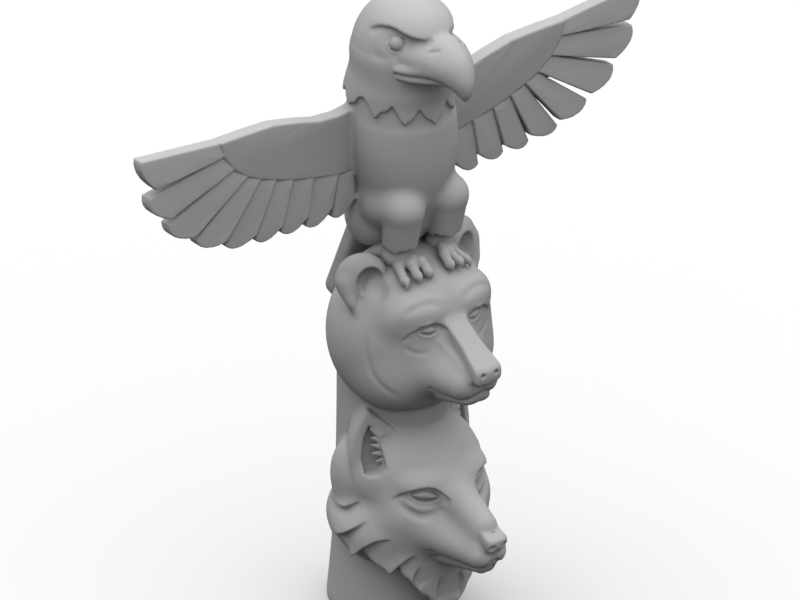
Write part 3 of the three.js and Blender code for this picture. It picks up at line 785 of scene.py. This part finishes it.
def lay_net(field, low, high, cell, block=8, chunk=1500):
    """Net of faces where the field is nought. Cells that the surface crosses get one point each, the mean of
    the crossings on their edges, and every crossed edge gets a face of the four cells round it. Only blocks
    of cells near the surface are worked out."""
    size = cell * block
    low = np.array(low, float)
    dims = np.ceil((np.array(high) - low) / size).astype(int)
    blocks = np.stack(np.meshgrid(*[np.arange(d) for d in dims], indexing="ij"), -1).reshape(-1, 3)
    middles = low + (blocks + 0.5) * size
    blocks = blocks[np.abs(field(*middles.T.astype(F))) < size * 1.3]
    steps = np.stack(np.meshgrid(*[np.arange(block + 1)] * 3, indexing="ij"), -1).reshape(-1, 3)
    span = dims * block

    def name(g):
        """One number for each cell."""
        return (g[..., 0].astype(np.int64) * span[1] + g[..., 1]) * span[2] + g[..., 2]

    n = block
    names, places, crossings = [], [], []
    for start in range(0, len(blocks), chunk):
        b = blocks[start:start + chunk]
        at = low + (b[:, None, :] * n + steps[None]) * cell
        v = field(*at.reshape(-1, 3).T.astype(F)).reshape(len(b), n + 1, n + 1, n + 1)
        inside = v < 0
        full = sum(inside[:, i:i + n, j:j + n, k:k + n].astype(np.int8) for i, j, k in CORNER)
        c = np.stack(np.nonzero((full > 0) & (full < 8)), 1)
        if not len(c):
            continue
        values = np.stack([v[c[:, 0], c[:, 1] + i, c[:, 2] + j, c[:, 3] + k] for i, j, k in CORNER], 1)
        total, count = np.zeros((len(c), 3)), np.zeros(len(c))
        for p, q in CELL_EDGES:
            vp, vq = values[:, p], values[:, q]
            m = (vp < 0) != (vq < 0)
            t = vp[m] / (vp[m] - vq[m])
            total[m] += np.array(CORNER[p]) + t[:, None] * (np.array(CORNER[q]) - np.array(CORNER[p]))
            count[m] += 1
        g = b[c[:, 0]] * n + c[:, 1:]
        names.append(name(g))
        places.append(low + (g + total / count[:, None]) * cell)
        base = inside[:, :n, :n, :n]
        for axis in range(3):
            s = [int(axis == i) for i in range(3)]
            c = np.stack(np.nonzero(base != inside[:, s[0]:s[0] + n, s[1]:s[1] + n, s[2]:s[2] + n]), 1)
            crossings.append((axis, b[c[:, 0]] * n + c[:, 1:], base[c[:, 0], c[:, 1], c[:, 2], c[:, 3]]))
    names, places = np.concatenate(names), np.concatenate(places)
    order = np.argsort(names)
    return places[order], stitch(names[order], crossings, name)


def both_sides(places, faces, cell):
    """The half net joined to its mirror image. Points of the middle layer of cells lie on x = 0 and are
    shared."""
    middle = places[:, 0] < cell * 0.49
    places[middle, 0] = 0
    partner = np.where(middle, np.arange(len(places)), len(places) + np.cumsum(~middle) - 1)
    return (np.vstack([places, places[~middle] * (-1, 1, 1)]),
            np.vstack([faces, partner[faces][:, ::-1]]))


def carving_net(cell):
    """The pole's net: half of it is laid, from half a cell beyond the middle, and mirrored."""
    places, faces = lay_net(pole, (-cell / 2, LOW[1], LOW[2]), HIGH, cell)
    return both_sides(places, faces, cell)
# ---- end of the carving ----


def hollows(places, lean, reaches=(3, 8), chunk=200000):
    """How sunk each point is, 0 to 1, as the mask for shade painted into the hollows: the field a few parts
    out from it falls short of that distance where other stone stands near."""
    sunk = np.zeros(len(places), F)
    for reach in reaches:
        out = (places + lean * reach).T.astype(F)
        open_way = np.concatenate([pole(*out[:, i:i + chunk]) for i in range(0, len(places), chunk)])
        sunk += F(1 / len(reaches)) * np.clip(1 - open_way / reach, 0, 1)
    return sunk


def mesh_lean(places, corners):
    """Unit normals of points, from the triangles round them."""
    a, b, c = [places[corners[:, i]] for i in range(3)]
    across = np.cross(b - a, c - a)
    lean = np.zeros_like(places)
    for i in range(3):
        for axis in range(3):
            lean[:, axis] += np.bincount(corners[:, i], across[:, axis], len(places))
    return lean / (np.linalg.norm(lean, axis=1, keepdims=True) + 1e-12)


def new_mesh(name, places, faces):
    """A mesh from whole arrays of places and of faces with equal numbers of corners."""
    mesh = bpy.data.meshes.new(name)
    mesh.vertices.add(len(places))
    mesh.vertices.foreach_set("co", np.ascontiguousarray(places, np.float32).ravel())
    mesh.loops.add(faces.size)
    mesh.loops.foreach_set("vertex_index", np.ascontiguousarray(faces, np.int32).ravel())
    mesh.polygons.add(len(faces))
    mesh.polygons.foreach_set("loop_start", np.arange(0, faces.size, faces.shape[1], dtype=np.int32))
    mesh.update(calc_edges=True)
    mesh.validate()
    return mesh


def thin_out(mesh, triangles):
    """The mesh with its flat stretches thinned to about that many triangles."""
    worker = bpy.data.objects.new("worker", mesh)
    bpy.context.scene.collection.objects.link(worker)
    fewer = worker.modifiers.new("fewer", "DECIMATE")
    fewer.ratio = min(1.0, triangles / (2 * len(mesh.polygons)))
    fewer.use_collapse_triangulate = True
    bpy.context.view_layer.update()
    thin = bpy.data.meshes.new_from_object(worker.evaluated_get(bpy.context.evaluated_depsgraph_get()))
    bpy.data.objects.remove(worker)
    bpy.data.meshes.remove(mesh)
    return thin


class Nodes:
    """Short words for placing and linking the nodes of one tree."""

    def __init__(self, tree):
        self.tree = tree
        self.count = 0

    def add(self, kind, **values):
        node = self.tree.nodes.new(kind)
        node.location = (self.count * 190, -60 * (self.count % 4))
        self.count += 1
        for key, value in values.items():
            if hasattr(node, key):
                setattr(node, key, value)
            else:
                self.put(node.inputs[key.replace("_", " ")], value)
        return node

    def first(self, kind):
        """The node of a kind that the tree starts with."""
        return next(node for node in self.tree.nodes if node.type == kind)

    def put(self, socket, value):
        if isinstance(value, bpy.types.NodeSocket):
            self.tree.links.new(value, socket)
        else:
            socket.default_value = value

    def math(self, operation, a, b=0.0, clamp=False):
        node = self.add("ShaderNodeMath", operation=operation, use_clamp=clamp)
        self.put(node.inputs[0], a)
        self.put(node.inputs[1], b)
        return node.outputs[0]

    def stretch(self, value, low, high, to_low, to_high):
        node = self.add("ShaderNodeMapRange", clamp=True)
        for socket, item in zip(node.inputs[:5], (value, low, high, to_low, to_high)):
            self.put(socket, item)
        return node.outputs[0]


def own_nodes(owner):
    """The nodes of a new material or world."""
    owner.use_nodes = True
    return Nodes(owner.node_tree)


def stone_group():
    """Node group of fine-grained stone: colour, roughness and height from broad cloudy tone, fine grain and
    scattered pores, with shade painted darker into the hollows."""
    tree = bpy.data.node_groups.new("fine_stone", "ShaderNodeTree")
    for way, kind, names in (("INPUT", "Vector", ["Place"]), ("INPUT", "Color", ["Tone"]),
                             ("INPUT", "Float", ["Sunk", "Clouding", "Grain", "Hollow Painted Shade"]),
                             ("OUTPUT", "Color", ["Colour"]), ("OUTPUT", "Float", ["Roughness", "Height"])):
        for name in names:
            tree.interface.new_socket(name, in_out=way, socket_type="NodeSocket" + kind)
    n = Nodes(tree)
    given = n.add("NodeGroupInput")
    place = given.outputs["Place"]
    cloud = n.add("ShaderNodeTexNoise", Vector=place, Scale=7.0, Detail=4.0, Roughness=0.55).outputs["Fac"]
    grain = n.add("ShaderNodeTexNoise", Vector=place, Scale=420.0, Detail=3.0, Roughness=0.7).outputs["Fac"]
    pore = n.add("ShaderNodeTexVoronoi", Vector=place, Scale=160.0).outputs["Distance"]
    pits = n.stretch(pore, 0.0, 0.16, 1.0, 0.0)
    some = n.add("ShaderNodeTexNoise", Vector=place, Scale=24.0, Detail=1.0).outputs["Fac"]
    pits = n.math("MULTIPLY", pits, n.stretch(some, 0.5, 0.65, 0.0, 1.0))
    shade = n.math("ADD", 1.0, n.math("MULTIPLY", n.math("SUBTRACT", cloud, 0.5), given.outputs["Clouding"]))
    shade = n.math("ADD", shade, n.math("MULTIPLY", n.math("SUBTRACT", grain, 0.5), given.outputs["Grain"]))
    shade = n.math("SUBTRACT", shade, n.math("MULTIPLY", pits, given.outputs["Grain"]))
    # painted shade: the tone is darkened by the mask of how sunk each point is, so the hollows look shaded
    shade = n.math("SUBTRACT", shade, n.math("MULTIPLY", given.outputs["Sunk"], given.outputs["Hollow Painted Shade"]))
    toned = n.add("ShaderNodeVectorMath", operation="SCALE")
    n.put(toned.inputs[0], given.outputs["Tone"])
    n.put(toned.inputs["Scale"], shade)
    result = n.add("NodeGroupOutput")
    n.put(result.inputs["Colour"], toned.outputs[0])
    n.put(result.inputs["Roughness"], n.stretch(grain, 0.2, 0.8, 0.78, 0.95))
    n.put(result.inputs["Height"], n.math("SUBTRACT", n.math("MULTIPLY", grain, 0.5), pits))
    return tree


def stone_material(looks):
    """Matt grey stone over the group, with a slight bump from its grain and pores."""
    material = bpy.data.materials.new("carved_stone")
    n = own_nodes(material)
    shader = n.first("BSDF_PRINCIPLED")
    place = n.add("ShaderNodeTexCoord").outputs["Object"]
    # the sunk attribute carries the mask of shade painted into the hollows
    sunk = n.add("ShaderNodeAttribute", attribute_name="sunk").outputs["Fac"]
    stone = n.add("ShaderNodeGroup", node_tree=bpy.data.node_groups.get("fine_stone") or stone_group())
    n.put(stone.inputs["Place"], place)
    n.put(stone.inputs["Sunk"], sunk)
    stone.inputs["Tone"].default_value = (*looks.tone, 1)
    stone.inputs["Clouding"].default_value = looks.clouding
    stone.inputs["Grain"].default_value = looks.grain
    stone.inputs["Hollow Painted Shade"].default_value = looks.hollow_painted_shade
    bump = n.add("ShaderNodeBump", Height=stone.outputs["Height"], Strength=0.25, Distance=0.0006)
    n.put(shader.inputs["Base Color"], stone.outputs["Colour"])
    n.put(shader.inputs["Roughness"], stone.outputs["Roughness"])
    n.put(shader.inputs["Normal"], bump.outputs["Normal"])
    shader.inputs["Specular IOR Level"].default_value = 0.35
    return material


class TotemPoleSizes(bpy.types.PropertyGroup):
    part: bpy.props.FloatProperty(
        name="Part", description="Length of one part; the pole is 682 parts tall", unit="LENGTH", precision=6,
        default=float(CAD_HIGH[2] - CAD_LOW[2]) / PARTS_TALL)
    cell: bpy.props.FloatProperty(
        name="Cell", description="Size of the net's cells, in parts", default=1.2, min=0.8, max=6)
    triangles: bpy.props.IntProperty(
        name="Triangles", description="Triangles left once flat stretches are thinned", default=192000)


class TotemPoleStone(bpy.types.PropertyGroup):
    tone: bpy.props.FloatVectorProperty(
        name="Tone", description="Colour of the stone", subtype="COLOR", size=3, min=0, max=1,
        default=(0.30, 0.30, 0.30))
    clouding: bpy.props.FloatProperty(
        name="Clouding", description="Strength of the broad lighter and darker clouds", subtype="FACTOR",
        default=0.10)
    grain: bpy.props.FloatProperty(
        name="Grain", description="Strength of the fine grain", default=0.10, subtype="FACTOR")
    # strength of the shade painted darker into the hollows
    hollow_painted_shade: bpy.props.FloatProperty(
        name="Hollow Painted Shade", description="How much darker the stone is in its hollows", subtype="FACTOR",
        default=0.20)


class TotemPoleStudio(bpy.types.PropertyGroup):
    floor_tone: bpy.props.FloatVectorProperty(
        name="Floor Tone", description="Colour of the floor", subtype="COLOR", size=3, min=0, max=1,
        default=(0.5, 0.5, 0.5))
    floor_bounce: bpy.props.FloatProperty(
        name="Floor Bounce", description="Share of its light that the floor throws back on to the pole",
        subtype="FACTOR", min=0, max=1, default=0.06)
    floor_size: bpy.props.FloatProperty(
        name="Floor Size", description="Length of the floor's side", unit="LENGTH", default=60.0)
    sky: bpy.props.FloatProperty(
        name="Sky", description="Brightness of the soft light straight overhead", default=3.0)
    ground_glow: bpy.props.FloatProperty(
        name="Ground Glow", description="Brightness of the faint light from all round", default=0.06)
    lens: bpy.props.FloatProperty(
        name="Lens", description="Focal length of the camera, in millimetres", default=1000.0)


class TOTEM_OT_carving(bpy.types.Operator):
    """Lay the pole's net, thin it, colour it and put it in place of the plain solid"""
    bl_idname = "totem.carving"
    bl_label = "Carving"

    def execute(self, context):
        sizes, looks = context.scene.totem_sizes, context.scene.totem_stone
        cell = sizes.cell
        mesh = thin_out(new_mesh("totem_pole_net", *carving_net(cell)), sizes.triangles)
        places = np.zeros(len(mesh.vertices) * 3, np.float32)
        mesh.vertices.foreach_get("co", places)
        places = places.reshape(-1, 3).astype(float)
        corners = np.zeros(len(mesh.polygons) * 3, np.int32)
        mesh.polygons.foreach_get("vertices", corners)
        # mask of shade painted into the hollows, stored on the mesh as the sunk attribute
        sunk = hollows(places, mesh_lean(places, corners.reshape(-1, 3)))
        mesh.attributes.new("sunk", "FLOAT", "POINT").data.foreach_set("value", sunk)
        placed = np.clip((places - FOOT) * sizes.part, CAD_LOW, CAD_HIGH)
        mesh.vertices.foreach_set("co", placed.astype(np.float32).ravel())
        mesh.polygons.foreach_set("use_smooth", np.ones(len(mesh.polygons), bool))
        mesh.name = "totem_pole_carving"
        mesh.materials.clear()
        mesh.materials.append(stone_material(looks))
        mesh.update()
        carving = bpy.data.objects.new("totem_pole_carving", mesh)
        context.scene.collection.objects.link(carving)
        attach(carving, "root")
        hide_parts(NODE)
        return {"FINISHED"}


def lay_floor(scene, studio):
    """A pale floor that looks bright but throws little of its light back on to the pole."""
    half = studio.floor_size / 2
    square = np.array([(-half, -half, 0), (half, -half, 0), (half, half, 0), (-half, half, 0)])
    floor = bpy.data.objects.new("floor", new_mesh("floor", square, np.array([[0, 1, 2, 3]])))
    scene.collection.objects.link(floor)
    material = bpy.data.materials.new("floor")
    n = own_nodes(material)
    shader = n.first("BSDF_PRINCIPLED")
    seen = n.add("ShaderNodeLightPath").outputs["Is Camera Ray"]
    tone = n.add("ShaderNodeVectorMath", operation="SCALE")
    tone.inputs[0].default_value = studio.floor_tone
    n.put(tone.inputs["Scale"], n.stretch(seen, 0.0, 1.0, studio.floor_bounce, 1.0))
    n.put(shader.inputs["Base Color"], tone.outputs[0])
    shader.inputs["Roughness"].default_value = 0.9
    shader.inputs["Specular IOR Level"].default_value = 0.0
    floor.data.materials.append(material)


def light_sky(scene, studio):
    """A soft sky that is brightest straight overhead."""
    world = bpy.data.worlds.new("soft_sky")
    scene.world = world
    n = own_nodes(world)
    background = n.first("BACKGROUND")
    way = n.add("ShaderNodeTexCoord").outputs["Generated"]
    up = n.add("ShaderNodeSeparateXYZ", Vector=way).outputs["Z"]
    background.inputs["Color"].default_value = (1, 1, 1, 1)
    n.put(background.inputs["Strength"], n.stretch(up, 0.0, 1.0, studio.ground_glow, studio.sky))


def stand_camera(scene, studio, part):
    """A long lens, so far away that the pole fills its share of the picture."""
    turn, rise = math.radians(CAMERA_TURN), math.radians(CAMERA_RISE)
    right = np.array([math.cos(turn), math.sin(turn), 0])
    back = np.array([math.sin(turn) * math.cos(rise), -math.cos(turn) * math.cos(rise), math.sin(rise)])
    aim = right * AIM_SIDE * part + np.array([0, 0, AIM_HEIGHT * part])
    camera = bpy.data.objects.new("camera", bpy.data.cameras.new("camera"))
    camera.data.lens = studio.lens
    away = PICTURE_PARTS * part * studio.lens / camera.data.sensor_width
    camera.data.clip_end = away + studio.floor_size
    camera.location = aim + back * away
    camera.rotation_euler = (math.pi / 2 - rise, 0, turn)
    scene.collection.objects.link(camera)
    scene.camera = camera


class TOTEM_OT_studio(bpy.types.Operator):
    """Lay the pale floor, set the soft overhead light and stand the camera"""
    bl_idname = "totem.studio"
    bl_label = "Studio"

    def execute(self, context):
        scene = context.scene
        lay_floor(scene, scene.totem_studio)
        light_sky(scene, scene.totem_studio)
        stand_camera(scene, scene.totem_studio, scene.totem_sizes.part)
        scene.view_settings.view_transform = "Standard"
        return {"FINISHED"}


class TOTEM_PT_panel(bpy.types.Panel):
    """Lists the sizes, looks and operators in the sidebar"""
    bl_idname = "TOTEM_PT_panel"
    bl_label = "Totem Pole"
    bl_space_type = "VIEW_3D"
    bl_region_type = "UI"
    bl_category = "Totem Pole"

    def draw(self, context):
        for name in GROUPS:
            box = self.layout.box()
            group = getattr(context.scene, name)
            for key in group.bl_rna.properties.keys():
                if key not in ("name", "rna_type"):
                    box.prop(group, key)
        for operator in (TOTEM_OT_carving, TOTEM_OT_studio):
            self.layout.operator(operator.bl_idname)


GROUPS = {"totem_sizes": TotemPoleSizes, "totem_stone": TotemPoleStone, "totem_studio": TotemPoleStudio}
CLASSES = (*GROUPS.values(), TOTEM_OT_carving, TOTEM_OT_studio, TOTEM_PT_panel)


def register():
    for item in CLASSES:
        bpy.utils.register_class(item)
    for name, group in GROUPS.items():
        setattr(bpy.types.Scene, name, bpy.props.PointerProperty(type=group))


def unregister():
    for name in GROUPS:
        delattr(bpy.types.Scene, name)
    for item in reversed(CLASSES):
        bpy.utils.unregister_class(item)


def main():
    register()
    bpy.ops.totem.carving()
    bpy.ops.totem.studio()


if __name__ == "__main__":
    main()
